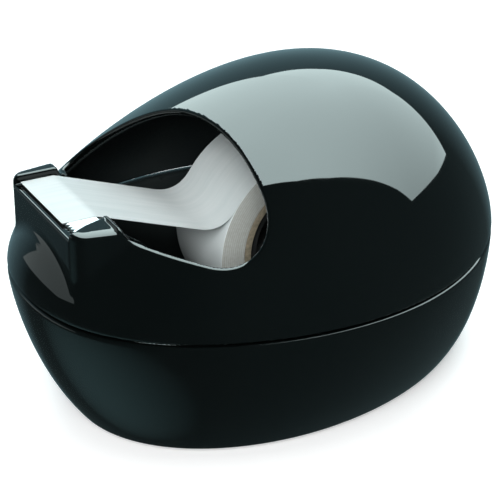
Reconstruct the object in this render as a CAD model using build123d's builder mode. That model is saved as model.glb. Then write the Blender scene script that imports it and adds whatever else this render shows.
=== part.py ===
from build123d import *
import os
from math import asin, copysign, degrees

# A small pebble-shaped desk dispenser for 19 mm adhesive tape. Millimetres, +Z up, nose
# towards -X, the roll's axis along Y. Origin: centre of the outline on the surface it stands on.

# --- driving dimensions -----------------------------------------------------------------------
body_length = 94.3          # nose tip to tail
body_width = 74.1           # widest place of the rim
seam_height = 28.2          # level joint between the bowl and the upper shell
dome_rise = 34.0            # top of the dome above the joint
bowl_drop = 41.1            # depth the bowl would have without its flat foot
foot_height = 0.6           # underside of the bowl above the table
wall = 1.7                  # moulded wall of the shell and of the bowl
floor_thickness = 1.8       # bottom of the bowl
seam_bevel = 0.45           # bevel on each half that makes the shadow line

# Where the egg's outline is pulled: two inner stations along the length, and at the four
# inner stations the pull on the plan width, the dome and the bowl, as parts of each full size.
station_front = -26.4
station_rear = 17.3
plan_pull = (0.827, 0.904, 1.679, 0.404)
dome_pull = (0.627, 0.147, 2.446, 0.274)
bowl_pull = (0.342, 2.118, 0.122, 1.603)
dome_shoulder = 0.595       # fullness of the dome's cross-section
bowl_shoulder = 0.504       # fullness of the bowl's cross-section
# the bowl's inside: height over the joint's, then front, rear and side reach over half the body's
bowl_sections = [
    (0.02, 0.775, 0.886, 0.676),
    (0.25, 0.865, 0.950, 0.800),
    (0.43, 0.916, 0.976, 0.875),
    (0.71, 0.973, 0.995, 0.961),
    (1.00, 1.000, 1.000, 1.000),
]
bowl_wall = 2.2

tongue_height = 2.4         # rim of the bowl that locates the shell
tongue_depth = 3.0
tongue_thickness = 1.2
tongue_gap = 0.3            # all round, between the tongue and the shell
tongue_draft = 0.5          # how far the tongue leans in, to lead the shell on

half_length = body_length / 2
half_width = body_width / 2

blade_half = 12.0
tray_half = blade_half + 0.4          # between the cheeks
nose_front_x = 3.75 - half_length
mouth_front_x = nose_front_x + 8.2    # back edge of the nose's top
mouth_front_z = seam_height + 18.3
mouth_kink_x = nose_front_x + 9.8     # where the nose meets the mouth's rim
mouth_kink_z = seam_height + 14.3
mouth_corner_z = seam_height + 8.8    # the rim's lower line, if it ran on to the back line
# Side outlines of the mouth: distance from the middle plane, length and corner radius.
mouth_sides = [(-30, 21.7, 11), (0, 19.6, 9), (30, 8.7, 5)]
mouth_flare = 3.0
mouth_ceiling = seam_height + dome_rise + 10.0

nose_front_half = tray_half + 0.5
nose_back_half = nose_front_half + 2.6
nose_top = seam_height + 17.0         # top of the two cheeks
nose_corner = 1.8
nose_lift = 3.0             # from the joint up to the foot of the nose
tray_floor = seam_height + 15.3       # seat of the blade

blade_thickness = 0.45
blade_front_x = nose_front_x + 1.8
blade_back_x = blade_front_x + 6.0
tooth_pitch = 1.0
tooth_depth = 0.9
blade_corner = 1.0
peg_radius = 0.9            # two stakes that hold the blade
peg_x = blade_front_x + 4.0
peg_spacing = 8.0
peg_gap = 0.05

axle_x = 7.1
axle_z = seam_height + 0.7
roll_y = 2.5                # the roll sits this far from the middle plane
tape_width = 19.0
roll_radius = 18.7
core_inner_radius = 12.7
core_wall = 1.3
ring_gap = 0.05             # between the core and the winding
hub_gap = 0.1
hub_rim = 1.4
hub_inset = 1.0             # hub rim ends inside the roll
web_thickness = 2.0
boss_radius = 4.2
stub_radius = 2.5
stub_length = 5.0           # past the side of the roll
rib_count = 6
rib_thickness = 1.2
rib_inset = 3.0
stub_chamfer = 0.5

saddle_gap = 1.2            # between the roll's side and its saddle
saddle_thickness = 2.6
saddle_half_base = 9.0
saddle_half_top = 5.0
saddle_rise = 5.5           # above the axle's centre
slot_gap = 0.06

strip_thickness = 0.15
strip_start_x = blade_front_x - 0.3
strip_bend_x = blade_back_x + 0.9
strip_peel_z = seam_height + 9.4
strip_wrap = 12.0
strip_toe = 2.2
strip_toe_radius = 2.2
strip_bend_radius = 5.0
strip_roll_gap = 0.3

ballast_thickness = 4.6
ballast_gap = 0.4
cover_thickness = 1.4
screw_places = [(-22, -9), (-22, 9), (31, -6), (31, 6)]
screw_radius = 1.2
screw_gap = 0.05
screw_head_radius = 2.4
screw_head_height = 1.3
screw_post_radius = 3.0
screw_length = 5.0

pad_thickness = 1.3
pad_gap = 0.1
pad_inset = 15.0

floor_z = foot_height + floor_thickness


# --- the egg ----------------------------------------------------------------------------------
def plan_points(inset):
    """Control points of one side of the plan outline, moved inwards by inset."""
    length = half_length - inset
    scale = length / half_length
    xs = (-length, -length, station_front * scale, station_rear * scale, length, length)
    pulls = (0, *plan_pull, 0)
    return [(x, (half_width - inset) * pull) for x, pull in zip(xs, pulls)]


def half_egg(inset, rise, pulls, shoulder):
    """Closed half egg on the joint plane: one smooth skin and its flat outline."""
    crown = (16 - 8 * shoulder) / 6
    rows = []
    for (x, y), pull in zip(plan_points(inset), (0, *pulls, 0)):
        height = rise * pull
        y = copysign(y, rise)
        rows.append(
            [
                (x, y, seam_height),
                (x, y, seam_height + shoulder * height),
                (x, 0, seam_height + crown * height),
                (x, -y, seam_height + shoulder * height),
                (x, -y, seam_height),
            ]
        )
    skin = Face.make_bezier_surface(rows)
    return Solid(Shell([skin, plan_face(inset, seam_height)]))


def outline(front, rear, half, z):
    """An egg outline at height z that reaches front and rear of the middle, and half each side."""
    points = [
        ((x + half_length) / body_length * (front + rear) - front, y / half_width * half)
        for x, y in plan_points(0)
    ]
    near, far = (Edge.make_bezier(*[(x, side * y, z) for x, y in points]) for side in (-1, 1))
    return Face(Wire([near, far]))


def plan_face(inset, z):
    """The egg's plan outline at height z, moved inwards by inset, as a face."""
    return outline(half_length - inset, half_length - inset, half_width - inset, z)


def slab(face, z, thickness):
    """A plate of the given outline, with its underside at height z."""
    with BuildPart() as plate:
        add(face)
        extrude(amount=thickness, dir=(0, 0, 1))
    return plate.part


def bowl_layer(inset, z_low, z_high):
    """What fills the bowl's curve, moved inwards by inset, between two heights."""
    with BuildPart() as layer:
        for height, front, rear, half in bowl_sections:
            reach = (half_length * front - inset, half_length * rear - inset)
            add(outline(*reach, half_width * half - inset, seam_height * height))
        loft()
        split(bisect_by=Plane.XY.offset(z_low), keep=Keep.TOP)
        split(bisect_by=Plane.XY.offset(z_high), keep=Keep.BOTTOM)
    return layer.part


def plug(foot_inset, foot_z, top_inset, top_z):
    """A drafted plug between the plan outline at two heights."""
    with BuildPart() as drafted:
        add(plan_face(foot_inset, foot_z))
        add(plan_face(top_inset, top_z))
        loft(ruled=True)
    return drafted.part


def seam_ring(direction):
    """What a bevel takes off the outer edge at the joint, above (+1) or below (-1) it."""
    low, high = sorted((seam_height, seam_height + direction * seam_bevel))
    with BuildPart() as ring:
        add(slab(plan_face(-seam_bevel, low), low, high - low))
        kept = plug(seam_bevel, seam_height, 0, seam_height + direction * seam_bevel)
        add(kept, mode=Mode.SUBTRACT)
    return ring.part


# --- lower bowl -------------------------------------------------------------------------------
saddle_offset = tape_width / 2 + saddle_gap + saddle_thickness / 2
saddle_places = [roll_y - saddle_offset, roll_y + saddle_offset]
saddle_top = axle_z + saddle_rise
ballast_top = floor_z + ballast_thickness
cover_top = ballast_top + cover_thickness
tongue_inset = wall + tongue_gap
tongue_inner = tongue_inset + tongue_thickness + tongue_draft
tongue_foot_inset = tongue_inner + tongue_thickness
pad_recess = pad_thickness - foot_height

with BuildPart() as lower_bowl:
    add(half_egg(0, -bowl_drop, bowl_pull, bowl_shoulder))
    add(seam_ring(-1), mode=Mode.SUBTRACT)
    split(bisect_by=Plane.XY.offset(foot_height), keep=Keep.TOP)
    # locating tongue that stands up inside the shell, drafted to lead the shell on
    tongue_top = seam_height + tongue_height
    tongue_foot = seam_height - tongue_depth
    tongue_root = seam_height - tongue_depth / 2
    add(plug(tongue_inset, tongue_root, tongue_inset + tongue_draft, tongue_top))
    add(plug(tongue_foot_inset, tongue_foot, tongue_inner, tongue_top), mode=Mode.SUBTRACT)
    add(bowl_layer(bowl_wall, floor_z, tongue_foot), mode=Mode.SUBTRACT)
    # open-topped saddles for the hub's stub axles
    for place in saddle_places:
        with BuildSketch(Plane.XZ.offset(-place)) as saddle:
            with BuildLine():
                Polyline(
                    (axle_x - saddle_half_base, floor_z - floor_thickness / 2),
                    (axle_x + saddle_half_base, floor_z - floor_thickness / 2),
                    (axle_x + saddle_half_top, saddle_top),
                    (axle_x - saddle_half_top, saddle_top),
                    close=True,
                )
            make_face()
            fillet(saddle.vertices().group_by(Axis.Y)[-1], radius=1.5)
            with Locations((axle_x, axle_z)):
                Circle(stub_radius + slot_gap, mode=Mode.SUBTRACT)
                slot_size = 2 * (stub_radius + slot_gap)
                Rectangle(
                    slot_size,
                    2 * saddle_rise,
                    align=(Align.CENTER, Align.MIN),
                    mode=Mode.SUBTRACT,
                )
        extrude(amount=saddle_thickness / 2, both=True)
    # posts that take the cover's screws
    with BuildSketch(Plane.XY.offset(floor_z)):
        with Locations(*screw_places):
            Circle(screw_post_radius)
    extrude(amount=ballast_thickness)
    with BuildSketch(Plane.XY.offset(floor_z)):
        with Locations(*screw_places):
            Circle(screw_radius + screw_gap)
    extrude(amount=ballast_thickness, mode=Mode.SUBTRACT)
    # recess of the non-slip pad
    recess = plan_face(pad_inset, foot_height)
    add(slab(recess, foot_height, pad_recess), mode=Mode.SUBTRACT)

# --- upper shell ------------------------------------------------------------------------------
nose_root = seam_height + nose_lift
nose_wall_half = nose_front_half - wall
peg_places = [(peg_x, -peg_spacing / 2), (peg_x, peg_spacing / 2)]


def mouth_side(y, length, radius):
    """Side outline of the mouth's cutter at one distance from the middle plane."""
    back_x = mouth_kink_x + length
    with BuildSketch(Plane.XZ.offset(-y)) as outline:
        with BuildLine():
            Polyline(
                (mouth_front_x - mouth_flare, mouth_ceiling),
                (mouth_front_x - mouth_flare, mouth_front_z + mouth_flare),
                (mouth_front_x, mouth_front_z),
                (mouth_kink_x, mouth_kink_z),
                (back_x, mouth_corner_z),
                (back_x, mouth_ceiling),
                close=True,
            )
        make_face()
        corner = outline.vertices().group_by(Axis.Y)[0]
        fillet(corner, radius=radius)
    return outline.sketch.faces()[0]


with BuildPart() as mouth:
    for side in mouth_sides:
        add(mouth_side(*side))
    loft()

with BuildPart() as upper_shell:
    add(half_egg(0, dome_rise, dome_pull, dome_shoulder))
    add(seam_ring(1), mode=Mode.SUBTRACT)
    # the nose that carries the blade
    with BuildSketch(Plane.XY.offset(nose_root)) as nose_plan:
        with BuildLine():
            Polyline(
                (nose_front_x, -nose_front_half),
                (nose_front_x, nose_front_half),
                (mouth_kink_x, nose_back_half),
                (mouth_kink_x, -nose_back_half),
                close=True,
            )
        make_face()
        fillet(nose_plan.vertices().group_by(Axis.X)[0], radius=nose_corner)
    extrude(amount=nose_top - nose_root)
    add(half_egg(wall, dome_rise - wall, dome_pull, dome_shoulder), mode=Mode.SUBTRACT)
    # hollow under the blade's seat
    nose_hollow = tray_floor - wall
    with BuildSketch(Plane.XY.offset(nose_root)):
        with Locations((nose_front_x + wall, 0)):
            hollow_length = mouth_kink_x - nose_front_x
            Rectangle(hollow_length, 2 * nose_wall_half, align=(Align.MIN, Align.CENTER))
    extrude(amount=nose_hollow - nose_root, mode=Mode.SUBTRACT)
    add(mouth.part, mode=Mode.SUBTRACT)
    # tray between the cheeks
    with BuildSketch(Plane.XY.offset(tray_floor)):
        with Locations((mouth_kink_x, 0)):
            Rectangle(half_length, 2 * tray_half, align=(Align.MAX, Align.CENTER))
    extrude(amount=nose_top, mode=Mode.SUBTRACT)
    # stakes through the blade
    with BuildSketch(Plane.XY.offset(tray_floor - wall / 2)):
        with Locations(*peg_places):
            Circle(peg_radius)
    extrude(amount=wall / 2 + blade_thickness)


# --- cutter blade -----------------------------------------------------------------------------
blade_top = tray_floor + blade_thickness
tooth_count = round(2 * blade_half / tooth_pitch)

with BuildPart() as cutter_blade:
    with BuildSketch(Plane.XY.offset(tray_floor)) as blade_plan:
        with BuildLine():
            tips = []
            for tooth in range(tooth_count):
                y = -blade_half + tooth * tooth_pitch
                tips.append((blade_front_x + tooth_depth, y))
                tips.append((blade_front_x, y + tooth_pitch / 2))
            tips.append((blade_front_x + tooth_depth, blade_half))
            Polyline(*tips, (blade_back_x, blade_half), (blade_back_x, -blade_half), close=True)
        make_face()
        fillet(blade_plan.vertices().group_by(Axis.X)[-1], radius=blade_corner)
        with Locations(*peg_places):
            Circle(peg_radius + peg_gap, mode=Mode.SUBTRACT)
    extrude(amount=blade_thickness)

# --- roll, core and hub -----------------------------------------------------------------------
roll_plane = Plane((axle_x, roll_y, axle_z), x_dir=(1, 0, 0), z_dir=(0, 1, 0))
core_outer_radius = core_inner_radius + core_wall
hub_radius = core_inner_radius - hub_gap

with BuildPart() as tape_roll:
    with BuildSketch(roll_plane):
        Circle(roll_radius)
        Circle(core_outer_radius + ring_gap, mode=Mode.SUBTRACT)
    extrude(amount=tape_width / 2, both=True)

with BuildPart() as tape_core:
    with BuildSketch(roll_plane):
        Circle(core_outer_radius)
        Circle(core_inner_radius, mode=Mode.SUBTRACT)
    extrude(amount=tape_width / 2, both=True)

with BuildPart() as spool_hub:
    with BuildSketch(roll_plane):
        Circle(hub_radius)
        Circle(hub_radius - hub_rim, mode=Mode.SUBTRACT)
    extrude(amount=tape_width / 2 - hub_inset, both=True)
    with BuildSketch(roll_plane):
        Circle(hub_radius - hub_rim / 2)
    extrude(amount=web_thickness / 2, both=True)
    with BuildSketch(roll_plane):
        Circle(boss_radius)
        with PolarLocations(0, rib_count):
            Rectangle(hub_radius - hub_rim / 2, rib_thickness, align=(Align.MIN, Align.CENTER))
    extrude(amount=tape_width / 2 - rib_inset, both=True)
    with BuildSketch(roll_plane):
        Circle(stub_radius)
    extrude(amount=tape_width / 2 + stub_length, both=True)
    stub_ends = spool_hub.edges().filter_by(GeomType.CIRCLE).group_by(Axis.Y)
    chamfer(stub_ends[0] + stub_ends[-1], length=stub_chamfer)

# --- free end of the tape ---------------------------------------------------------------------
# From the teeth over the blade, down to the front of the roll, then up round it for a short way.
peel_radius = roll_radius + strip_roll_gap
peel_angle = 180 - degrees(asin((strip_peel_z - axle_z) / peel_radius))

with BuildPart() as tape_strip:
    with BuildSketch(Plane.XZ.offset(-roll_y)):
        with BuildLine():
            wrap = CenterArc((axle_x, axle_z), peel_radius, peel_angle - strip_wrap, strip_wrap)
            foot = wrap @ 1
            FilletPolyline(
                (strip_start_x, blade_top),
                (strip_bend_x, blade_top),
                foot + (wrap % 1) * strip_toe,
                foot,
                radius=[strip_bend_radius, strip_toe_radius],
            )
            offset(amount=strip_thickness, side=Side.RIGHT)
        make_face()
    extrude(amount=tape_width / 2, both=True)

# --- ballast, its cover and the screws --------------------------------------------------------
saddle_cut = (2 * (saddle_half_base + ballast_gap), saddle_thickness + 2 * ballast_gap)


def inner_plate(z_low, z_high, hole_radius):
    """A plate that fills the bowl between two heights, clear of its saddles and screws."""
    with BuildPart() as plate:
        add(bowl_layer(bowl_wall + ballast_gap, z_low, z_high))
        with BuildSketch(Plane.XY.offset(z_low)):
            with Locations(*[(axle_x, place) for place in saddle_places]):
                Rectangle(*saddle_cut)
            with Locations(*screw_places):
                Circle(hole_radius)
        extrude(amount=z_high - z_low, mode=Mode.SUBTRACT)
    return plate.part


with BuildPart() as ballast_weight:
    add(inner_plate(floor_z, ballast_top, screw_post_radius + ballast_gap))

with BuildPart() as ballast_cover:
    add(inner_plate(ballast_top, cover_top, screw_radius + screw_gap))

with BuildPart() as cover_screws:
    with BuildSketch(Plane.XY.offset(cover_top)):
        with Locations(*screw_places):
            Circle(screw_head_radius)
    extrude(amount=screw_head_height)
    with BuildSketch(Plane.XY.offset(cover_top - screw_length)):
        with Locations(*screw_places):
            Circle(screw_radius)
    extrude(amount=screw_length)

# --- non-slip pad -----------------------------------------------------------------------------
with BuildPart() as base_pad:
    add(slab(plan_face(pad_inset + pad_gap, 0), 0, pad_thickness))

# --- files ------------------------------------------------------------------------------------
pieces = {
    "lower_bowl": lower_bowl,
    "upper_shell": upper_shell,
    "cutter_blade": cutter_blade,
    "tape_roll": tape_roll,
    "tape_core": tape_core,
    "spool_hub": spool_hub,
    "tape_strip": tape_strip,
    "ballast_weight": ballast_weight,
    "ballast_cover": ballast_cover,
    "cover_screws": cover_screws,
    "base_pad": base_pad,
}
os.makedirs("parts", exist_ok=True)
for name, piece in pieces.items():
    piece.part.label = name
    export_step(piece.part, f"parts/{name}.step")
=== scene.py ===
"""Looks of the egg-shaped tape dispenser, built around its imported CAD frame.

The two body shells are meshed here from the same egg formula as the CAD, with softer edges.
Shapes are worked out in millimetres and scaled to metres when a mesh is made.
"""

from math import comb, cos, pi, radians, sin

import bpy
import numpy as np
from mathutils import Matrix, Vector


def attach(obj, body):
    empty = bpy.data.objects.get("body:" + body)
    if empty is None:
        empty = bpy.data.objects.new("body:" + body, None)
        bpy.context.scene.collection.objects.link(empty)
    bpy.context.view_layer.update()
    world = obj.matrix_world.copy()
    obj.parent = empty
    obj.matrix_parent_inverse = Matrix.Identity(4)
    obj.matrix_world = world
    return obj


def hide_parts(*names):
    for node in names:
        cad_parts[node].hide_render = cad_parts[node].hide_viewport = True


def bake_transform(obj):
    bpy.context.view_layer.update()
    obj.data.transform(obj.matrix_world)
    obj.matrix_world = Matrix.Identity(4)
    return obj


MM = 0.001

# --- sizes, as in the CAD -----------------------------------------------------------------------
body_length = 94.3
body_width = 74.1
seam_height = 28.2
dome_rise = 34.0
bowl_drop = 41.1
foot_height = 0.6
seam_gap = 0.16             # each half stops this far from the joint
seam_round = 0.8            # rounding of the two edges at the joint
wall = 1.7
bowl_wall = 2.2
floor_thickness = 1.8
station_front = -26.4
station_rear = 17.3
plan_pull = (0.827, 0.904, 1.679, 0.404)
dome_pull = (0.627, 0.147, 2.446, 0.274)
bowl_pull = (0.342, 2.118, 0.122, 1.603)
dome_shoulder = 0.595
bowl_shoulder = 0.504
half_length = body_length / 2
half_width = body_width / 2

axle = (7.1, 2.5, 28.9)
tape_width = 19.0
roll_radius = 18.7
core_inner = 12.7
core_outer = 14.0


# --- fields: negative inside, about a distance in mm --------------------------------------------
def bernstein(degree, t):
    return np.array([comb(degree, i) * t**i * (1 - t) ** (degree - i) for i in range(degree + 1)])


class HalfEgg:
    """One half of the body's egg: every cross-section is the same curve, stretched."""

    def __init__(self, rise, pulls, shoulder):
        along = bernstein(5, np.linspace(0, 1, 6001))
        ends = (-half_length, -half_length, station_front, station_rear, half_length, half_length)
        self.x = np.array(ends) @ along
        wide = half_width * np.array((0, *plan_pull, 0)) @ along
        high = rise * np.array((0, *pulls, 0)) @ along
        self.wide2 = wide**2
        ratio = np.ones_like(wide)
        ratio[1:-1] = wide[1:-1] / high[1:-1]
        ratio[0], ratio[-1] = ratio[1], ratio[-2]
        self.ratio = ratio
        self.fall = [
            abs(self.wide2[a] - self.wide2[b]) / abs(self.x[a] - self.x[b])
            for a, b in ((40, 20), (-41, -21))
        ]
        across = bernstein(4, np.linspace(0, 0.5, 6001))
        p = across[0] + across[1] - across[3] - across[4]
        q = shoulder * (across[1] + across[3]) + (16 - 8 * shoulder) / 6 * across[2]
        self.angle = np.arctan2(q, p)
        self.reach2 = p**2 + q**2

    def level(self, x, y, height):
        """Zero on the skin; height is measured away from the joint plane."""
        wide2 = np.interp(x, self.x, self.wide2)
        wide2 = wide2 - self.fall[0] * np.maximum(-half_length - x, 0)
        wide2 = wide2 - self.fall[1] * np.maximum(x - half_length, 0)
        up = np.maximum(height, 0) * np.interp(x, self.x, self.ratio)
        reach2 = np.interp(np.arctan2(up, np.abs(y)), self.angle, self.reach2)
        return y**2 + up**2 - wide2 * reach2

    def distance(self, x, y, height):
        step = 0.02
        here = self.level(x, y, height)
        slope2 = (
            (self.level(x + step, y, height) - here) ** 2
            + (self.level(x, y + step, height) - here) ** 2
            + (self.level(x, y, height + step) - here) ** 2
        )
        return here * step / np.sqrt(slope2 + 1e-12)


dome = HalfEgg(dome_rise, dome_pull, dome_shoulder)
bowl = HalfEgg(bowl_drop, bowl_pull, bowl_shoulder)


def join(a, b, blend):
    """Union with a fillet about blend wide."""
    h = np.maximum(blend - np.abs(a - b), 0) / blend
    return np.minimum(a, b) - h * h * blend / 4


def meet(a, b, blend):
    """Intersection with a rounded edge about blend wide."""
    return -join(-a, -b, blend)


def meet_round(a, b, radius):
    """Intersection whose edge is an arc of the given radius."""
    outer = np.sqrt(np.maximum(a + radius, 0) ** 2 + np.maximum(b + radius, 0) ** 2) - radius
    return np.where((a > -radius) & (b > -radius), outer, np.maximum(a, b))


def side_line(x, z, start, end):
    """Distance in the XZ plane from the line start to end, positive on its left."""
    dx, dz = end[0] - start[0], end[1] - start[1]
    return (dx * (z - start[1]) - dz * (x - start[0])) / np.hypot(dx, dz)


# --- meshing ------------------------------------------------------------------------------------
def mesh_field(name, field, low, high, cell):
    """A mesh of the field's zero level, with smooth normals taken from the field itself."""
    low, high = np.array(low, float), np.array(high, float)
    coarse = 8
    blocks = np.ceil((high - low) / (cell * coarse)).astype(int)
    count = blocks * coarse + 1
    axes = [low[i] + cell * np.arange(count[i]) for i in range(3)]
    centres = [low[i] + cell * coarse * (np.arange(blocks[i]) + 0.5) for i in range(3)]
    cx, cy, cz = np.meshgrid(*centres, indexing="ij")
    middle = field(cx, cy, cz)
    near = np.abs(middle) < cell * coarse * 1.35
    inside = np.repeat(np.repeat(np.repeat(middle < 0, coarse, 0), coarse, 1), coarse, 2)
    inside = np.pad(inside, ((0, 1),) * 3, mode="edge")
    value = np.where(inside, -99.0, 99.0)
    known = np.zeros(value.shape, bool)
    for i, j, k in np.argwhere(near):
        known[
            i * coarse : (i + 1) * coarse + 1,
            j * coarse : (j + 1) * coarse + 1,
            k * coarse : (k + 1) * coarse + 1,
        ] = True
    spot = np.argwhere(known)
    x, y, z = (axes[i][spot[:, i]] for i in range(3))
    value[known] = field(x, y, z)
    inside = value < 0
    corners = [(a, b, c) for a in (0, 1) for b in (0, 1) for c in (0, 1)]
    total = sum(
        inside[a : count[0] - 1 + a, b : count[1] - 1 + b, c : count[2] - 1 + c].astype(int)
        for a, b, c in corners
    )
    active = (total > 0) & (total < 8)
    number = np.full(active.shape, -1)
    cells = np.argwhere(active)
    number[active] = np.arange(len(cells))
    sums = np.zeros((len(cells), 3))
    hits = np.zeros(len(cells))
    for a, b, c in corners:
        for axis in range(3):
            if (a, b, c)[axis]:
                continue
            other = [a, b, c]
            other[axis] = 1
            f0 = value[cells[:, 0] + a, cells[:, 1] + b, cells[:, 2] + c]
            f1 = value[cells[:, 0] + other[0], cells[:, 1] + other[1], cells[:, 2] + other[2]]
            cross = (f0 < 0) != (f1 < 0)
            part = np.where(cross, f0 / np.where(cross, f0 - f1, 1), 0)
            point = np.tile(np.array((a, b, c), float), (len(cells), 1))
            point[:, axis] = part
            sums += point * cross[:, None]
            hits += cross
    points = low + cell * (cells + sums / hits[:, None])
    faces = []
    for axis in range(3):
        u, v = [i for i in range(3) if i != axis]
        reach = [slice(None)] * 3
        first = list(reach)
        first[axis] = slice(0, -1)
        second = list(reach)
        second[axis] = slice(1, None)
        change = inside[tuple(first)] != inside[tuple(second)]
        at = np.argwhere(change)
        keep = (at[:, u] > 0) & (at[:, v] > 0)
        keep &= (at[:, u] < count[u] - 1) & (at[:, v] < count[v] - 1)
        at = at[keep]
        leaving = inside[at[:, 0], at[:, 1], at[:, 2]]
        quad = []
        for du, dv in ((1, 1), (0, 1), (0, 0), (1, 0)):
            c = at.copy()
            c[:, u] -= du
            c[:, v] -= dv
            quad.append(number[c[:, 0], c[:, 1], c[:, 2]])
        quad = np.stack(quad, 1)
        flip = leaving if axis != 1 else ~leaving
        quad[~flip] = quad[~flip][:, ::-1]
        faces.append(quad)
    faces = np.concatenate(faces)
    for _ in range(4):
        value_here, slope = gradient(field, points)
        length2 = np.maximum((slope**2).sum(1), 0.05)
        move = -(value_here / length2)[:, None] * slope
        points += np.clip(move, -0.4 * cell, 0.4 * cell)
    _, slope = gradient(field, points)
    normals = slope / np.maximum(np.linalg.norm(slope, axis=1), 1e-9)[:, None]
    return solid_mesh(name, points, faces, normals)


def gradient(field, points):
    step = 0.02
    here = field(*points.T)
    slope = np.zeros_like(points)
    for axis in range(3):
        moved = points.copy()
        moved[:, axis] += step
        slope[:, axis] = (field(*moved.T) - here) / step
    return here, slope


def solid_mesh(name, points, faces, normals=None):
    """A Blender object from points in mm."""
    mesh = bpy.data.meshes.new(name)
    mesh.vertices.add(len(points))
    mesh.vertices.foreach_set("co", (np.asarray(points) * MM).astype(np.float32).ravel())
    faces = np.asarray(faces)
    size = faces.shape[1]
    mesh.loops.add(faces.size)
    mesh.loops.foreach_set("vertex_index", faces.astype(np.int32).ravel())
    mesh.polygons.add(len(faces))
    mesh.polygons.foreach_set("loop_start", np.arange(0, faces.size, size, dtype=np.int32))
    mesh.polygons.foreach_set("use_smooth", np.ones(len(faces), bool))
    mesh.update(calc_edges=True)
    mesh.validate()
    if normals is not None:
        mesh.normals_split_custom_set_from_vertices(normals.tolist())
    piece = bpy.data.objects.new(name, mesh)
    bpy.context.scene.collection.objects.link(piece)
    return piece


# --- frame --------------------------------------------------------------------------------------
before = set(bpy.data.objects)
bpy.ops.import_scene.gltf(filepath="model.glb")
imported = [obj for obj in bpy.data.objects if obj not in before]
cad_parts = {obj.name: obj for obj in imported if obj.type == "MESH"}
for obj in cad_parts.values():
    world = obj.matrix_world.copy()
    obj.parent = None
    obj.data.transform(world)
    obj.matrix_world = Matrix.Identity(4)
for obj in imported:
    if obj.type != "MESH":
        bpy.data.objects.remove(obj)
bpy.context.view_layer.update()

# --- upper shell --------------------------------------------------------------------------------
nose_front = -43.1
nose_half = 14.6            # half width at the front, growing backwards by nose_slope
nose_slope = 0.14
nose_corner = 2.4
nose_back = -30.0           # the nose is inside the egg from here on
nose_top = 45.2             # top of the far cheek
near_top = 45.0             # top of the near cheek, which falls outwards by near_fall
near_fall = 0.1
near_end = -35.5            # the near cheek drops off behind this
mouth_kink = (-33.6, 42.5)
mouth_front = (-35.2, 46.5)
mouth_corner = 37.8         # height of the mouth's lower line, if it ran on to the rear one
mouth_rear = -14.35         # the rear line at the middle plane, bent along y
mouth_turn = -0.25
near_bend = 0.0062
far_bend = (0.0145, 0.0005)
lip_thickness = 0.5
lip_front = -31.0           # the bevel inside the rim fades in from here
tray_floor = 43.5
tray_half = 12.4
near_cheek = 9.4            # inner side of the near cheek at the blade's rear edge
near_line = ((-42.0, 12.2), (-39.5, 10.7))
blade_back = -35.6


def mouth_field(x, y, z):
    """The dispensing mouth's cutter: an open slot in side view, slanted across the body."""
    bend = np.where(y < 0, near_bend, far_bend[0] + far_bend[1] * np.maximum(y, 0))
    back = mouth_rear + mouth_turn * y - bend * y**2
    turn = mouth_turn - 2 * bend * y
    radius = np.interp(y, (-30, 0, 30), (12, 9, 5))
    dx, dz = back - mouth_kink[0], mouth_corner - mouth_kink[1]
    under = -(dx * (z - mouth_kink[1]) - dz * (x - mouth_kink[0])) / np.hypot(dx, dz)
    rear = (x - back) / np.hypot(1, turn)
    front = side_line(x, z, mouth_kink, mouth_front)
    return meet(meet_round(under, rear, radius), front, 1.5)


def shell_field(x, y, z):
    egg = dome.distance(x, y, z - seam_height)
    side = np.abs(y) - nose_half - nose_slope * (x - nose_front)
    nose = meet(meet_round(nose_front - x, side, nose_corner), z - nose_top, 1.5)
    nose = np.maximum(nose, x - nose_back)
    outer = join(egg, nose, 0.9)
    hollow = np.maximum(nose_front + wall - x, np.abs(y) - tray_half + 1)
    hollow = np.maximum(hollow, np.maximum(z - tray_floor + wall, x - mouth_kink[0]))
    inner = join(egg + wall, hollow, 1.0)
    solid = meet(outer, -inner, 0.3)
    line_x, line_y = zip(*near_line, (blade_back, near_cheek))
    near_wall = -np.interp(x, line_x, line_y)
    tray = np.maximum(np.maximum(tray_floor - z, y - tray_half), near_wall - y)
    solid = meet(solid, -np.maximum(tray, x - mouth_kink[0] - 1), 0.5)
    above = z - near_top + near_fall * np.maximum(near_wall - y, 0)
    above = above - 3 * np.maximum(x - near_end, 0)
    solid = meet(solid, np.where(y < 0, above, -9.0), 0.8)
    mouth = mouth_field(x, y, z)
    solid = meet(solid, -mouth, 0.5)
    # the rim is bevelled on its inside
    lip = np.minimum((-egg - lip_thickness - mouth) / 1.41, 0.3 * (x - lip_front))
    solid = meet(solid, lip, 0.25)
    return meet(solid, seam_height + seam_gap - z, seam_round)


# --- lower bowl ---------------------------------------------------------------------------------
saddle_places = (-9.5, 14.5)
saddle_half_thickness = 1.3
saddle_half_base = 9.0
saddle_half_top = 5.0
saddle_foot = 1.5           # inside the bowl's floor, as the posts' foot is
saddle_top = 34.4
slot_radius = 2.56
tongue_top = 30.6
tongue_root = 26.7
tongue_foot = 25.2
tongue_outside = (2.0, 2.5)  # inset from the outline at the root and at the top
tongue_inside = (4.9, 3.7)   # inset at the foot and at the top
post_radius = 3.0
hole_radius = 1.25
post_places = [(-22, -9), (-22, 9), (31, -6), (31, 6)]
post_top = 7.0
pad_inset = 15.0
pad_recess_top = 1.3


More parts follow.
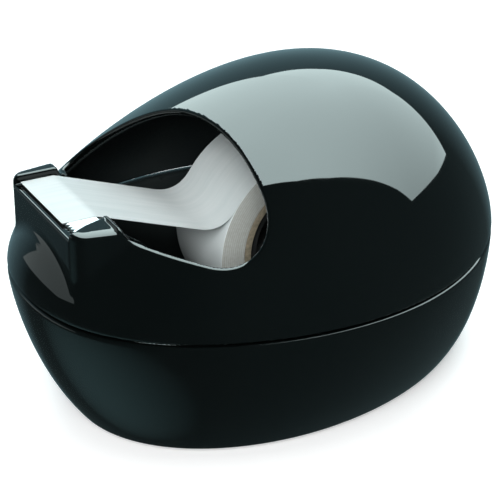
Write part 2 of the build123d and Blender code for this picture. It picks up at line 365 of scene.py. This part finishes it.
def bowl_field(x, y, z):
    egg = bowl.distance(x, y, seam_height - z)
    plan = bowl.distance(x, y, np.zeros_like(z))
    floor_z = foot_height + floor_thickness
    inner = np.maximum(egg + bowl_wall, floor_z - z)
    solid = np.maximum(meet(egg, z - seam_height + seam_gap, seam_round), -inner)
    # the tongue that locates the shell
    outside = plan + np.interp(z, (tongue_root, tongue_top), tongue_outside)
    inside = plan + np.interp(z, (tongue_foot, tongue_top), tongue_inside)
    ring = np.maximum(np.maximum(meet(outside, z - tongue_top, 0.4), -inside), tongue_foot - z)
    solid = np.minimum(solid, np.maximum(ring, egg * (z < seam_height)))
    # the saddles for the hub's stub axles
    dx, dz = x - axle[0], z - axle[2]
    narrow = (saddle_half_base - saddle_half_top) / (saddle_top - saddle_foot)
    lean = (np.abs(dx) - saddle_half_base + narrow * (z - saddle_foot)) / np.hypot(1, narrow)
    slot = np.minimum(np.hypot(dx, dz), np.where(dz > 0, np.abs(dx), 99.0)) - slot_radius
    for place in saddle_places:
        plate = meet(meet_round(lean, z - saddle_top, 1.5), -slot, 0.3)
        plate = meet(plate, np.abs(y - place) - saddle_half_thickness, 0.3)
        solid = join(solid, np.maximum(plate, saddle_foot - z), 0.5)
    # the posts that take the cover's screws
    for px, py in post_places:
        reach = np.hypot(x - px, y - py)
        post = np.maximum(np.maximum(reach - post_radius, z - post_top), saddle_foot - z)
        solid = np.minimum(solid, post)
        solid = np.maximum(solid, np.minimum(hole_radius - reach, z - floor_z))
    # the pad's recess
    solid = np.maximum(solid, np.minimum(-plan - pad_inset, pad_recess_top - z))
    return meet(solid, foot_height - z, 0.8)


shell = mesh_field("shell_skin", shell_field, (-48, -38, 27), (48, 38, 63), 0.35)
base = mesh_field("bowl_skin", bowl_field, (-48, -38, 0), (48, 38, 35.2), 0.5)
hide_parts("upper_shell")
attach(shell, "shell")
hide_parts("lower_bowl")
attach(base, "base")


# --- turned pieces: roll and core -----------------------------------------------------------------
def turned(name, profile, steps=180):
    """A ring turned about the axle from a closed profile of (radius, along the axle) points."""
    turns = np.linspace(0, 2 * pi, steps, endpoint=False)
    rings = np.array(profile, float)
    points = np.stack(
        [
            axle[0] + np.outer(np.cos(turns), rings[:, 0]),
            np.broadcast_to(axle[1] + rings[:, 1], (steps, len(rings))),
            axle[2] + np.outer(np.sin(turns), rings[:, 0]),
        ],
        -1,
    ).reshape(-1, 3)
    here = np.arange(steps * len(rings)).reshape(steps, len(rings))
    next_turn = np.roll(here, -1, 0)
    faces = np.stack(
        [here, np.roll(here, -1, 1), np.roll(next_turn, -1, 1), next_turn], -1
    ).reshape(-1, 4)
    piece = solid_mesh(name, points, faces)
    piece.data.set_sharp_from_angle(angle=radians(35))
    return piece


def ring_profile(inner, outer, half, edge):
    """A rectangular ring's section with slightly rounded edges, listed clockwise."""
    points = []
    for r, y in ((outer, half), (outer, -half), (inner, -half), (inner, half)):
        sr, sy = (1 if r == outer else -1), (1 if y > 0 else -1)
        turn = [0, pi / 8, pi / 4, 3 * pi / 8, pi / 2]
        if sr * sy < 0:
            turn = turn[::-1]
        for t in turn:
            points.append((r - sr * edge * (1 - sin(t)), y - sy * edge * (1 - cos(t))))
    return points


roll = turned("tape_turns", ring_profile(core_outer + 0.05, roll_radius, tape_width / 2, 0.15))
core = turned("core_ring", ring_profile(core_inner, core_outer, tape_width / 2 - 0.1, 0.1))
for piece, node, slot in ((roll, "tape_roll", "tape_film"), (core, "tape_core", "core_plastic")):
    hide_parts(node)
    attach(piece, "spool")

# --- cutter blade ---------------------------------------------------------------------------------
blade_front = -41.6
blade_half = 12.0
blade_thickness = 0.45
tooth_pitch = 1.0
tooth_depth = 0.9


def blade_outline():
    """Plan of the blade: teeth along the front, the near rear corner cut back to the cheek."""
    points = []
    for tooth in range(round(2 * blade_half / tooth_pitch)):
        y = -blade_half + tooth * tooth_pitch
        points += [(blade_front + tooth_depth, y), (blade_front, y + tooth_pitch / 2)]
    points += [(blade_front + tooth_depth, blade_half), (blade_back - 1, blade_half)]
    points += [(blade_back, blade_half - 1), (blade_back, -near_cheek + 0.9)]
    return points + [(blade_back - 0.8, -near_cheek + 0.1)]


def plate(name, outline, low, high, bevel):
    """A flat plate with a small bevel round its upper edge."""
    flat = np.array(outline)
    ahead = np.roll(flat, -1, 0) - flat
    ahead /= np.linalg.norm(ahead, axis=1)[:, None]
    inward = np.stack([-ahead[:, 1], ahead[:, 0]], 1)
    corner = inward + np.roll(inward, 1, 0)
    corner /= np.maximum((corner**2).sum(1) / 2, 0.5)[:, None]
    area = (flat[:, 0] * np.roll(flat[:, 1], -1) - np.roll(flat[:, 0], -1) * flat[:, 1]).sum()
    small = flat + bevel * corner * (1 if area > 0 else -1)
    levels = [(flat, low), (flat, high - bevel), (small, high)]
    points = [(x, y, z) for ring, z in levels for x, y in ring]
    count = len(flat)
    mesh = bpy.data.meshes.new(name)
    faces = [tuple(range(count))[::-1], tuple(range(2 * count, 3 * count))]
    for level in (0, count):
        for i in range(count):
            j = (i + 1) % count
            faces.append((level + i, level + j, level + count + j, level + count + i))
    if area < 0:
        faces = [face[::-1] for face in faces]
    mesh.from_pydata([tuple(c * MM for c in p) for p in points], [], faces)
    piece = bpy.data.objects.new(name, mesh)
    bpy.context.scene.collection.objects.link(piece)
    return piece


blade = plate("blade_plate", blade_outline(), tray_floor, tray_floor + blade_thickness, 0.08)
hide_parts("cutter_blade")
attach(blade, "shell")

# --- free end of the tape -------------------------------------------------------------------------
strip_z = tray_floor + blade_thickness + 0.06
strip_start = -41.9
strip_flat = 6.21           # how far it lies on the blade
strip_slope = -0.355
strip_touch = radians(146)  # where it meets the roll, round the axle
strip_rest = roll_radius + 0.12
strip_wrap = radians(75)    # how far it is drawn on over the roll
fold_reach = 9.0
film_half = 0.04


def strip_path():
    """The film's line in side view: flat on the blade, a straight run, a fold, over the roll."""
    points = [(x, strip_z) for x in np.linspace(strip_start, strip_start + strip_flat, 10)]
    start = np.array(points[-1])
    touch = np.array(
        [axle[0] + strip_rest * cos(strip_touch), axle[2] + strip_rest * sin(strip_touch)]
    )
    tangent = np.array([sin(strip_touch), -cos(strip_touch)])
    run = np.array([1, strip_slope]) / np.hypot(1, strip_slope)
    reach = np.linalg.solve(np.stack([run, -tangent], 1), touch - start)
    corner = start + run * reach[0]
    pull = min(-reach[1], fold_reach)
    first = corner - run * pull
    last = corner + tangent * pull
    for t in np.linspace(0, 1, 24)[1:-1]:
        points.append(start + (first - start) * t)
    for t in np.linspace(0, 1, 18):
        points.append(first * (1 - t) ** 2 + 2 * corner * t * (1 - t) + last * t**2)
    angle = np.arctan2(last[1] - axle[2], last[0] - axle[0])
    for t in np.linspace(angle, angle - strip_wrap, 40)[1:]:
        points.append((axle[0] + strip_rest * cos(t), axle[2] + strip_rest * sin(t)))
    return np.array(points)


line = strip_path()
ahead = np.gradient(line, axis=0)
ahead /= np.linalg.norm(ahead, axis=1)[:, None]
up_side = np.stack([-ahead[:, 1], ahead[:, 0]], 1)
across = np.linspace(-tape_width / 2, tape_width / 2, 9) + axle[1]
sheet = []
for side in (1, -1):
    edge = line + side * film_half * up_side
    sheet.append(
        np.stack(
            [
                np.repeat(edge[:, 0], len(across)),
                np.tile(across, len(edge)),
                np.repeat(edge[:, 1], len(across)),
            ],
            1,
        )
    )
rows, columns = len(line), len(across)
index = np.arange(rows * columns).reshape(rows, columns)
top = np.stack([index[:-1, :-1], index[1:, :-1], index[1:, 1:], index[:-1, 1:]], -1).reshape(-1, 4)
under = top[:, ::-1] + rows * columns
border = np.concatenate([index[0, :], index[1:, -1], index[-1, -2::-1], index[-2:0:-1, 0]])
following = np.roll(border, -1)
rim = np.stack([border, following, following + rows * columns, border + rows * columns], 1)
strip = solid_mesh("tape_end", np.concatenate(sheet), np.concatenate([top, under, rim]))
strip.data.set_sharp_from_angle(angle=radians(40))
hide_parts("tape_strip")
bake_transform(strip)


# --- materials ----------------------------------------------------------------------------------
class Finish:
    """A material on one Principled shader, with what its nodes add."""

    def __init__(self, name, color, roughness, **values):
        self.material = bpy.data.materials.new(name)
        self.material.use_nodes = True
        self.tree = self.material.node_tree
        self.shader = self.tree.nodes["Principled BSDF"]
        self.shader.inputs["Base Color"].default_value = (*color, 1)
        self.shader.inputs["Roughness"].default_value = roughness
        for key, value in values.items():
            self.shader.inputs[key].default_value = value
        self.place = self.tree.nodes.new("ShaderNodeTexCoord").outputs["Object"]

    def math(self, operation, *values):
        """The result of an operation on numbers and sockets."""
        node = self.tree.nodes.new("ShaderNodeMath")
        node.operation = operation
        for socket, value in zip(node.inputs, values):
            if isinstance(value, (int, float)):
                socket.default_value = value
            else:
                self.tree.links.new(value, socket)
        return node.outputs[0]

    def noise(self, period, detail=3.0, stretch=(1, 1, 1)):
        """Noise with features of about period mm, drawn out by stretch."""
        spread = self.tree.nodes.new("ShaderNodeMapping")
        spread.inputs["Scale"].default_value = [1 / (period * MM * s) for s in stretch]
        self.tree.links.new(self.place, spread.inputs["Vector"])
        grain = self.tree.nodes.new("ShaderNodeTexNoise")
        grain.inputs["Scale"].default_value = 1.0
        grain.inputs["Detail"].default_value = detail
        self.tree.links.new(spread.outputs["Vector"], grain.inputs["Vector"])
        return grain.outputs["Fac"]

    def spread(self, value, low, high, start=0.3, stop=0.7):
        """A value between start and stop, spread over low to high."""
        node = self.tree.nodes.new("ShaderNodeMapRange")
        limits = {"From Min": start, "From Max": stop, "To Min": low, "To Max": high}
        for key, number in limits.items():
            node.inputs[key].default_value = number
        self.tree.links.new(value, node.inputs["Value"])
        return node.outputs["Result"]

    def colors(self, value, first, second):
        """Colour from first to second with value; value is already 0 to 1."""
        node = self.tree.nodes.new("ShaderNodeMix")
        node.data_type = "RGBA"
        node.inputs[6].default_value = (*first, 1)
        node.inputs[7].default_value = (*second, 1)
        self.tree.links.new(value, node.inputs[0])
        self.tree.links.new(node.outputs[2], self.shader.inputs["Base Color"])

    def rough(self, value):
        self.tree.links.new(value, self.shader.inputs["Roughness"])

    def bump(self, value, height):
        """Relief of height mm."""
        node = self.tree.nodes.new("ShaderNodeBump")
        node.inputs["Distance"].default_value = height * MM
        node.inputs["Strength"].default_value = 1.0
        self.tree.links.new(value, node.inputs["Height"])
        self.tree.links.new(node.outputs["Normal"], self.shader.inputs["Normal"])

    def radius(self):
        """Distance from the roll's axle, in mm."""
        split = self.tree.nodes.new("ShaderNodeSeparateXYZ")
        self.tree.links.new(self.place, split.inputs[0])
        x = self.math("SUBTRACT", split.outputs["X"], axle[0] * MM)
        z = self.math("SUBTRACT", split.outputs["Z"], axle[2] * MM)
        square = self.math("ADD", self.math("MULTIPLY", x, x), self.math("MULTIPLY", z, z))
        return self.math("MULTIPLY", self.math("SQRT", square), 1 / MM)

    def facing_side(self):
        """1 on faces that look along the axle, 0 on those that look out from it."""
        normal = self.tree.nodes.new("ShaderNodeTexCoord").outputs["Normal"]
        split = self.tree.nodes.new("ShaderNodeSeparateXYZ")
        self.tree.links.new(normal, split.inputs[0])
        return self.spread(self.math("ABSOLUTE", split.outputs["Y"]), 0, 1, 0.6, 0.8)


# Polished injection-moulded plastic: faint waviness and a slight haze that comes and goes.
gloss = Finish("gloss_black", (0.0013, 0.0019, 0.0019), 0.03)
gloss.rough(gloss.spread(gloss.noise(14, 4), 0.018, 0.055))
cloud = gloss.spread(gloss.noise(30, 2), 0, 1)
gloss.colors(cloud, (0.001, 0.0016, 0.0016), (0.0016, 0.0022, 0.0021))
gloss.bump(gloss.noise(9, 1), 0.004)

# The same plastic inside the mouldings, as it left the unpolished half of the mould.
unpolished = Finish("inside_black", (0.012, 0.015, 0.015), 0.5)
unpolished.shader.inputs["Specular IOR Level"].default_value = 0.25
inside_grain = unpolished.noise(0.5, 4)
unpolished.rough(unpolished.spread(inside_grain, 0.45, 0.6))
cloud = unpolished.spread(unpolished.noise(12, 2), 0, 1)
unpolished.colors(cloud, (0.016, 0.021, 0.022), (0.024, 0.03, 0.03))
unpolished.bump(inside_grain, 0.008)

# Bright spring steel, brushed across the blade.
steel = Finish("brushed_steel", (0.8, 0.81, 0.82), 0.3, Metallic=1.0)
brushing = steel.noise(0.12, 3, stretch=(1, 60, 1))
steel.rough(steel.spread(brushing, 0.24, 0.42))
steel.colors(steel.spread(brushing, 0, 1), (0.7, 0.72, 0.74), (0.88, 0.89, 0.9))
steel.bump(brushing, 0.004)

# Wound film: each turn a fine line on the roll's side, a soft unevenness across its face, and
# painted shade that darkens the side faces as a whole.
film = Finish("wound_film", (0.8, 0.82, 0.82), 0.4)
film.shader.inputs["Subsurface Weight"].default_value = 0.12
film.shader.inputs["Subsurface Radius"].default_value = (0.002, 0.002, 0.002)
line_pitch = 0.42           # several turns of film to one line, so that they show
turn = film.math("SINE", film.math("MULTIPLY", film.radius(), 2 * pi / line_pitch))
uneven = film.spread(film.noise(0.5, 2, stretch=(1, 8, 1)), -0.6, 0.6)
lines = film.spread(film.math("ADD", turn, uneven), 0, 1, -1.6, 1.6)
side_on = film.facing_side()
# painted shade: side faces go at least 0.6 of the way to the dark colour, and the turn lines add
# the rest
shade = film.math("MULTIPLY", side_on, film.math("MULTIPLY_ADD", lines, 0.4, 0.6))
film.colors(shade, (0.8, 0.88, 0.88), (0.42, 0.43, 0.39))
film.rough(film.spread(film.noise(6, 3), 0.3, 0.5))
film.bump(film.math("MULTIPLY", side_on, turn), 0.008)

# Single matt film: frosted face, thin stretch lines along its run.
sheet_film = Finish("frosted_film", (0.8, 0.84, 0.85), 0.42)
sheet_film.shader.inputs["Specular IOR Level"].default_value = 0.2
sheet_film.shader.inputs["Subsurface Weight"].default_value = 0.1
sheet_film.shader.inputs["Subsurface Radius"].default_value = (0.002, 0.002, 0.002)
frost = sheet_film.noise(0.15, 2)
draw = sheet_film.noise(1.2, 2, stretch=(14, 1, 14))
sheet_film.colors(sheet_film.spread(draw, 0, 1), (0.63, 0.69, 0.69), (0.69, 0.74, 0.74))
sheet_film.rough(sheet_film.spread(frost, 0.36, 0.52))
sheet_film.bump(draw, 0.02)

# Moulded plastic with a spark-eroded grain.
satin = Finish("grained_black", (0.02, 0.022, 0.022), 0.4)
grain = satin.noise(0.25, 4)
satin.rough(satin.spread(grain, 0.32, 0.5))
satin.colors(satin.spread(satin.noise(6, 3), 0, 1), (0.016, 0.018, 0.018), (0.026, 0.028, 0.028))
satin.bump(grain, 0.012)

# Pressed board of the tape's core.
tan = Finish("core_board", (0.3, 0.27, 0.2), 0.7)
fibre = tan.noise(0.6, 5, stretch=(1, 3, 1))
tan.colors(tan.spread(fibre, 0, 1), (0.2, 0.18, 0.13), (0.34, 0.3, 0.22))
tan.rough(tan.spread(fibre, 0.6, 0.82))
tan.bump(fibre, 0.03)

# Cast iron, sand-rough with darker pits.
iron = Finish("cast_iron", (0.08, 0.08, 0.08), 0.6, Metallic=0.7)
pits = iron.noise(1.1, 6)
iron.colors(iron.spread(pits, 0, 1), (0.05, 0.047, 0.045), (0.13, 0.13, 0.13))
iron.rough(iron.spread(pits, 0.75, 0.5))
iron.bump(pits, 0.12)

# Zinc-plated steel, with the marks of its drawing.
zinc = Finish("zinc_steel", (0.3, 0.31, 0.32), 0.45, Metallic=1.0)
drawn = zinc.noise(0.3, 3)
zinc.colors(zinc.spread(drawn, 0, 1), (0.24, 0.25, 0.26), (0.34, 0.35, 0.36))
zinc.rough(zinc.spread(drawn, 0.4, 0.58))
zinc.bump(drawn, 0.008)

# Soft foam rubber with open pores.
rubber = Finish("foam_rubber", (0.02, 0.02, 0.02), 0.85)
pores = rubber.noise(0.45, 3)
rubber.colors(rubber.spread(pores, 0, 1), (0.012, 0.012, 0.012), (0.034, 0.034, 0.033))
rubber.rough(rubber.spread(pores, 0.92, 0.78))
rubber.bump(pores, 0.08)

for piece, finish in (
    (shell, gloss),
    (base, gloss),
    (roll, film),
    (strip, sheet_film),
    (core, tan),
    (blade, steel),
):
    piece.data.materials.append(finish.material)

skin_depth = 1.2            # faces deeper than this under the egg are inside ones
for piece, egg_half, sign in ((shell, dome, 1), (base, bowl, -1)):
    piece.data.materials.append(unpolished.material)
    count = len(piece.data.polygons)
    centre = np.zeros(count * 3)
    piece.data.polygons.foreach_get("center", centre)
    x, y, z = centre.reshape(-1, 3).T / MM
    deep = egg_half.distance(x, y, sign * (z - seam_height)) < -skin_depth
    deep &= z > foot_height + 0.3
    piece.data.polygons.foreach_set("material_index", deep.astype(np.int32))

for node, finish in {
    "spool_hub": satin,
    "ballast_weight": iron,
    "ballast_cover": satin,
    "cover_screws": zinc,
    "base_pad": rubber,
}.items():
    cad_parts[node].data.materials.clear()
    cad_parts[node].data.materials.append(finish.material)

# --- camera -------------------------------------------------------------------------------------
# The photograph's view, fitted to its outline: angles, aim and the focal length in its pixels.
photo_size = 500
focal = 1901
azimuth, elevation = radians(-27.73), radians(26.76)
aim = Vector((-3.19, -1.87, 27.63)) * MM
camera_distance = 350 * MM
back = Vector((sin(azimuth) * cos(elevation), -cos(azimuth) * cos(elevation), sin(elevation)))
camera_data = bpy.data.cameras.new("camera")
camera_data.sensor_width = 36
camera_data.lens = focal / photo_size * camera_data.sensor_width
camera_data.clip_start = 0.01
camera_data.clip_end = 20
camera = bpy.data.objects.new("camera", camera_data)
bpy.context.scene.collection.objects.link(camera)
camera.location = aim + back * camera_distance
camera.rotation_euler = back.to_track_quat("Z", "Y").to_euler()
bpy.context.scene.camera = camera

# --- floor, light -------------------------------------------------------------------------------
floor_half = 900
corners = [(x * floor_half, y * floor_half, 0) for x, y in ((-1, -1), (1, -1), (1, 1), (-1, 1))]
floor = solid_mesh("floor", corners, [(0, 1, 2, 3)])
pale = Finish("floor_white", (0.92, 0.92, 0.92), 0.6)
pale.shader.inputs["Emission Color"].default_value = (1, 1, 1, 1)
pale.shader.inputs["Emission Strength"].default_value = 0.4
pale.rough(pale.spread(pale.noise(40, 2), 0.55, 0.65))
floor.data.materials.append(pale.material)
floor.visible_glossy = False

# What the black plastic mirrors. Each source lights the world round one direction: the cosines
# between which it fades in, its strength there, and its colour.
world = bpy.data.worlds.new("world")
bpy.context.scene.world = world
world.use_nodes = True
tree = world.node_tree
sky = tree.nodes["Background"]
around = tree.nodes.new("ShaderNodeTexCoord")


def source(background, way, cosines, strengths, color):
    """Sets up a background that brightens towards a direction, and returns it."""
    toward = tree.nodes.new("ShaderNodeVectorMath")
    toward.operation = "DOT_PRODUCT"
    toward.inputs[1].default_value = way
    tree.links.new(around.outputs["Generated"], toward.inputs[0])
    fade = tree.nodes.new("ShaderNodeMapRange")
    fade.inputs["From Min"].default_value, fade.inputs["From Max"].default_value = cosines
    fade.inputs["To Min"].default_value, fade.inputs["To Max"].default_value = strengths
    tree.links.new(toward.outputs["Value"], fade.inputs["Value"])
    background.inputs["Color"].default_value = (*color, 1)
    tree.links.new(fade.outputs["Result"], background.inputs["Strength"])
    return background


# a dim room, lighter on the right
lit = source(sky, (0.85, -0.5, 0.17), (-0.2, 0.95), (0.05, 0.13), (0.62, 0.95, 1.0))
for way, cosines, strength, color in (
    # a cool sheen from behind, low over the dome
    ((0.246, 0.918, 0.309), (0.5, 0.95), 0.46, (0.5, 0.88, 1.0)),
    # the table under its left
    ((-0.6, 0.15, -0.78), (0.8, 1.0), 0.3, (0.5, 0.95, 1.0)),
):
    added = tree.nodes.new("ShaderNodeBackground")
    both = tree.nodes.new("ShaderNodeAddShader")
    tree.links.new(lit.outputs[0], both.inputs[0])
    tree.links.new(source(added, way, cosines, (0, strength), color).outputs[0], both.inputs[1])
    lit = both
tree.links.new(lit.outputs[0], tree.nodes["World Output"].inputs["Surface"])
bpy.context.scene.view_settings.view_transform = "Standard"


def softbox(name, place, target, size, power):
    """An area light from place towards target, both in mm, that casts no reflection."""
    light = bpy.data.lights.new(name, "AREA")
    light.shape = "RECTANGLE"
    light.size, light.size_y = size[0] * MM, size[1] * MM
    light.energy = power
    box = bpy.data.objects.new(name, light)
    bpy.context.scene.collection.objects.link(box)
    box.location = Vector(place) * MM
    direction = (Vector(target) - Vector(place)).normalized()
    box.rotation_euler = direction.to_track_quat("-Z", "Y").to_euler()
    box.visible_glossy = False


softbox("top_box", (-20, -60, 700), (0, 0, 30), (600, 600), 3.1)
softbox("front_box", (-260, -380, 330), (0, 0, 35), (260, 260), 2.7)


# Two panels stand where the photograph's highlights put them: each corner is a place on a
# highlight's edge, in the photograph's pixels, sent on by the skin as a mirror would.
glow_reach = 600            # how far the panels are from the skin
glow_centre = np.array((0, -10, 55.0))
first_look, last_look, looks = 290, 420, 2601  # where the skin is sought along a line of sight


def skin_field(x, y, z):
    return dome.distance(x, y, z - seam_height)


def mirrored(pixel):
    """The point that the skin shows at a pixel of the photograph."""
    across, down = pixel
    eye = np.array(camera.location) / MM
    turn = np.array(camera.rotation_euler.to_matrix())
    middle = photo_size / 2
    ray = turn @ np.array(((across - middle) / focal, (middle - down) / focal, -1))
    ray /= np.linalg.norm(ray)
    sight = eye[:, None] + ray[:, None] * np.linspace(first_look, last_look, looks)
    inside = (skin_field(*sight) < 0) & (sight[2] > seam_height)
    spot = sight[:, np.argmax(inside)][:, None] - 0.05 * ray[:, None]
    _, slope = gradient(skin_field, spot.T)
    normal = slope[0] / np.linalg.norm(slope[0])
    way = ray - 2 * (ray @ normal) * normal
    return spot[:, 0] + way * glow_reach


def glow_panel(name, pixels, color, low, high, heights):
    """An emitter only for reflections, brighter from low to high between two heights in mm."""
    rim = [mirrored(pixel) for pixel in pixels]
    outward = np.mean(rim, axis=0) - glow_centre
    hub = glow_centre + outward / np.linalg.norm(outward) * glow_reach
    count = len(rim)
    fan = [(i, (i + 1) % count, count) for i in range(count)]
    panel = solid_mesh(name, [*map(tuple, rim), tuple(hub)], fan)
    emitter = bpy.data.materials.new(name)
    emitter.use_nodes = True
    nodes, links = emitter.node_tree.nodes, emitter.node_tree.links
    nodes.clear()
    output = nodes.new("ShaderNodeOutputMaterial")
    emission = nodes.new("ShaderNodeEmission")
    emission.inputs["Color"].default_value = (*color, 1)
    place = nodes.new("ShaderNodeTexCoord")
    split = nodes.new("ShaderNodeSeparateXYZ")
    rise = nodes.new("ShaderNodeMapRange")
    rise.inputs["From Min"].default_value = heights[0] * MM
    rise.inputs["From Max"].default_value = heights[1] * MM
    rise.inputs["To Min"].default_value = low
    rise.inputs["To Max"].default_value = high
    links.new(place.outputs["Object"], split.inputs[0])
    links.new(split.outputs["Z"], rise.inputs["Value"])
    links.new(rise.outputs["Result"], emission.inputs["Strength"])
    links.new(emission.outputs[0], output.inputs["Surface"])
    panel.data.materials.append(emitter)
    panel.visible_camera = panel.visible_diffuse = panel.visible_shadow = False


# the dome's wide highlight, clockwise from its left end; its last three corners lie in the mouth
highlight_top = [
    (166, 111), (180, 108), (192, 104), (204, 97), (220, 90), (245, 82), (285, 71), (318, 69),
    (350, 73), (392, 92), (417, 112), (446, 154),
]
highlight_foot = [
    (438, 173), (412, 201), (398, 190), (358, 178), (329, 178), (297, 181), (262, 186),
]
highlight_mouth = [(236, 182), (214, 160), (194, 130)]
dome_highlight = highlight_top + highlight_foot + highlight_mouth
# the grey patch under the nose
nose_highlight = [
    (36, 243), (39, 250), (23, 257), (40, 280), (58, 297), (74, 304), (75, 292), (60, 265),
]
glow_panel("glow_box", dome_highlight, (0.84, 1.04, 1.04), 4.2, 8.8, (200, 600))
glow_panel("nose_glow", nose_highlight, (0.85, 1.0, 1.0), 0.7, 0.9, (0, 300))
